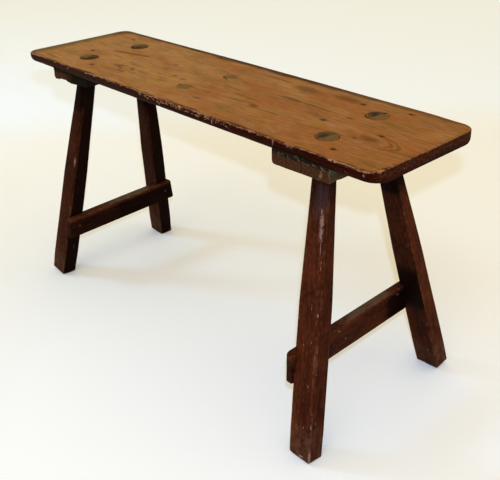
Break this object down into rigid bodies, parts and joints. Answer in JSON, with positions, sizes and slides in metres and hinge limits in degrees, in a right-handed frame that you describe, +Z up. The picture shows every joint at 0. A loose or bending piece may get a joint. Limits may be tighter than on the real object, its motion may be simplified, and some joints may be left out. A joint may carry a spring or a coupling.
{
  "type": "plank-seated kitchen bench",
  "caption": "Low plank bench with splayed hewn legs, wedged through-tenons, cross battens and nailed stretchers.",
  "frame": {"origin": "on the floor, under the middle of the bench", "axes": "+X along the seat to its right-hand end, +Y from the front edge to the rear edge, +Z up"},
  "size_m": [0.924, 0.3878, 0.5022],
  "materials": {
    "seat_wood": "worn bare wood, polished by use",
    "painted_wood": "old red-brown paint, worn",
    "batten_wood": "weathered bare wood",
    "wedge_wood": "dirty end grain",
    "forged_iron": "rusted"
  },
  "bodies": {
    "root": {"seat_board": "seat_wood", "batten_left": "batten_wood", "batten_right": "batten_wood", "leg_front_left": "painted_wood", "leg_front_right": "painted_wood", "leg_rear_left": "painted_wood", "leg_rear_right": "painted_wood", "tenon_wedge_front_left": "wedge_wood", "tenon_wedge_front_right": "wedge_wood", "tenon_wedge_rear_left": "wedge_wood", "tenon_wedge_rear_right": "wedge_wood", "stretcher_left": "painted_wood", "stretcher_right": "painted_wood", "seat_nail_left_inner_front": "forged_iron", "seat_nail_left_outer_middle": "forged_iron", "seat_nail_left_outer_rear": "forged_iron", "seat_nail_right_outer_front": "forged_iron", "seat_nail_right_inner_middle": "forged_iron", "seat_nail_right_outer_middle": "forged_iron", "seat_nail_right_inner_rear": "forged_iron", "seat_nail_right_outer_rear": "forged_iron", "stretcher_nail_front_left": "forged_iron", "stretcher_nail_front_right": "forged_iron", "stretcher_nail_rear_left": "forged_iron", "stretcher_nail_rear_right": "forged_iron"}
  },
  "joints": []
}
